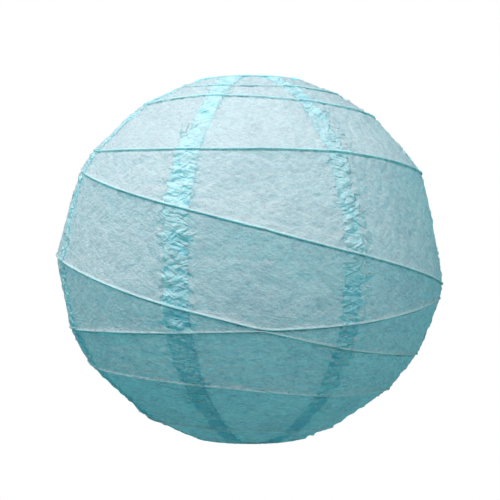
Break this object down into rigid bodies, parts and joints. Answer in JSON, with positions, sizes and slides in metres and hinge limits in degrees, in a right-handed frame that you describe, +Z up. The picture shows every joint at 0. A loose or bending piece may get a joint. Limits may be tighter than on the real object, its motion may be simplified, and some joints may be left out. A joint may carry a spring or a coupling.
{
  "type": "paper lantern",
  "caption": "Round folding paper lantern: pale aqua paper gores over a coiled, irregular wire rib, held open between two mouth rings by a sprung wire expander with a hanging eye.",
  "frame": {"origin": "where a hook bears, at the underside of the top of the hanging eye, on the lantern's axis", "axes": "+Z up along the lantern's axis from the bottom mouth to the top one; the expander lies in the XZ plane; -Y is the side that faces the viewer"},
  "size_m": [0.305, 0.3053, 0.2886],
  "materials": {
    "paper": "matte crinkled tissue",
    "rib_wire": "bright drawn",
    "ring_wire": "galvanised",
    "expander_wire": "galvanised"
  },
  "bodies": {
    "shade": {"expander_crown": "expander_wire", "top_ring": "ring_wire", "top_hem": "paper", "rib_wire": "rib_wire", "paper_gore_1": "paper", "paper_gore_2": "paper", "paper_gore_3": "paper", "paper_gore_4": "paper", "paper_gore_5": "paper", "paper_gore_6": "paper", "paper_gore_7": "paper"},
    "bottom_rim": {"bottom_ring": "ring_wire", "bottom_hem": "paper"},
    "left_leg": {"expander_leg_left": "expander_wire"},
    "right_leg": {"expander_leg_right": "expander_wire"}
  },
  "joints": [
    {"name": "shade_fold", "type": "slide", "parent": "shade", "child": "bottom_rim", "axis": [0, 0, 1], "range_m": [0, 0.27], "deforming": ["paper_gore_1", "paper_gore_2", "paper_gore_3", "paper_gore_4", "paper_gore_5", "paper_gore_6", "paper_gore_7", "rib_wire"]},
    {"name": "left_leg_squeeze", "type": "hinge", "parent": "shade", "child": "left_leg", "pos_m": [-0.0415, 0, -0.00835], "axis": [0, -1, 0], "range_deg": [0, 3], "stiffness_Nm_per_rad": 2.55},
    {"name": "right_leg_squeeze", "type": "hinge", "parent": "shade", "child": "right_leg", "pos_m": [0.0415, 0, -0.00835], "axis": [0, 1, 0], "range_deg": [0, 3], "stiffness_Nm_per_rad": 2.55}
  ]
}
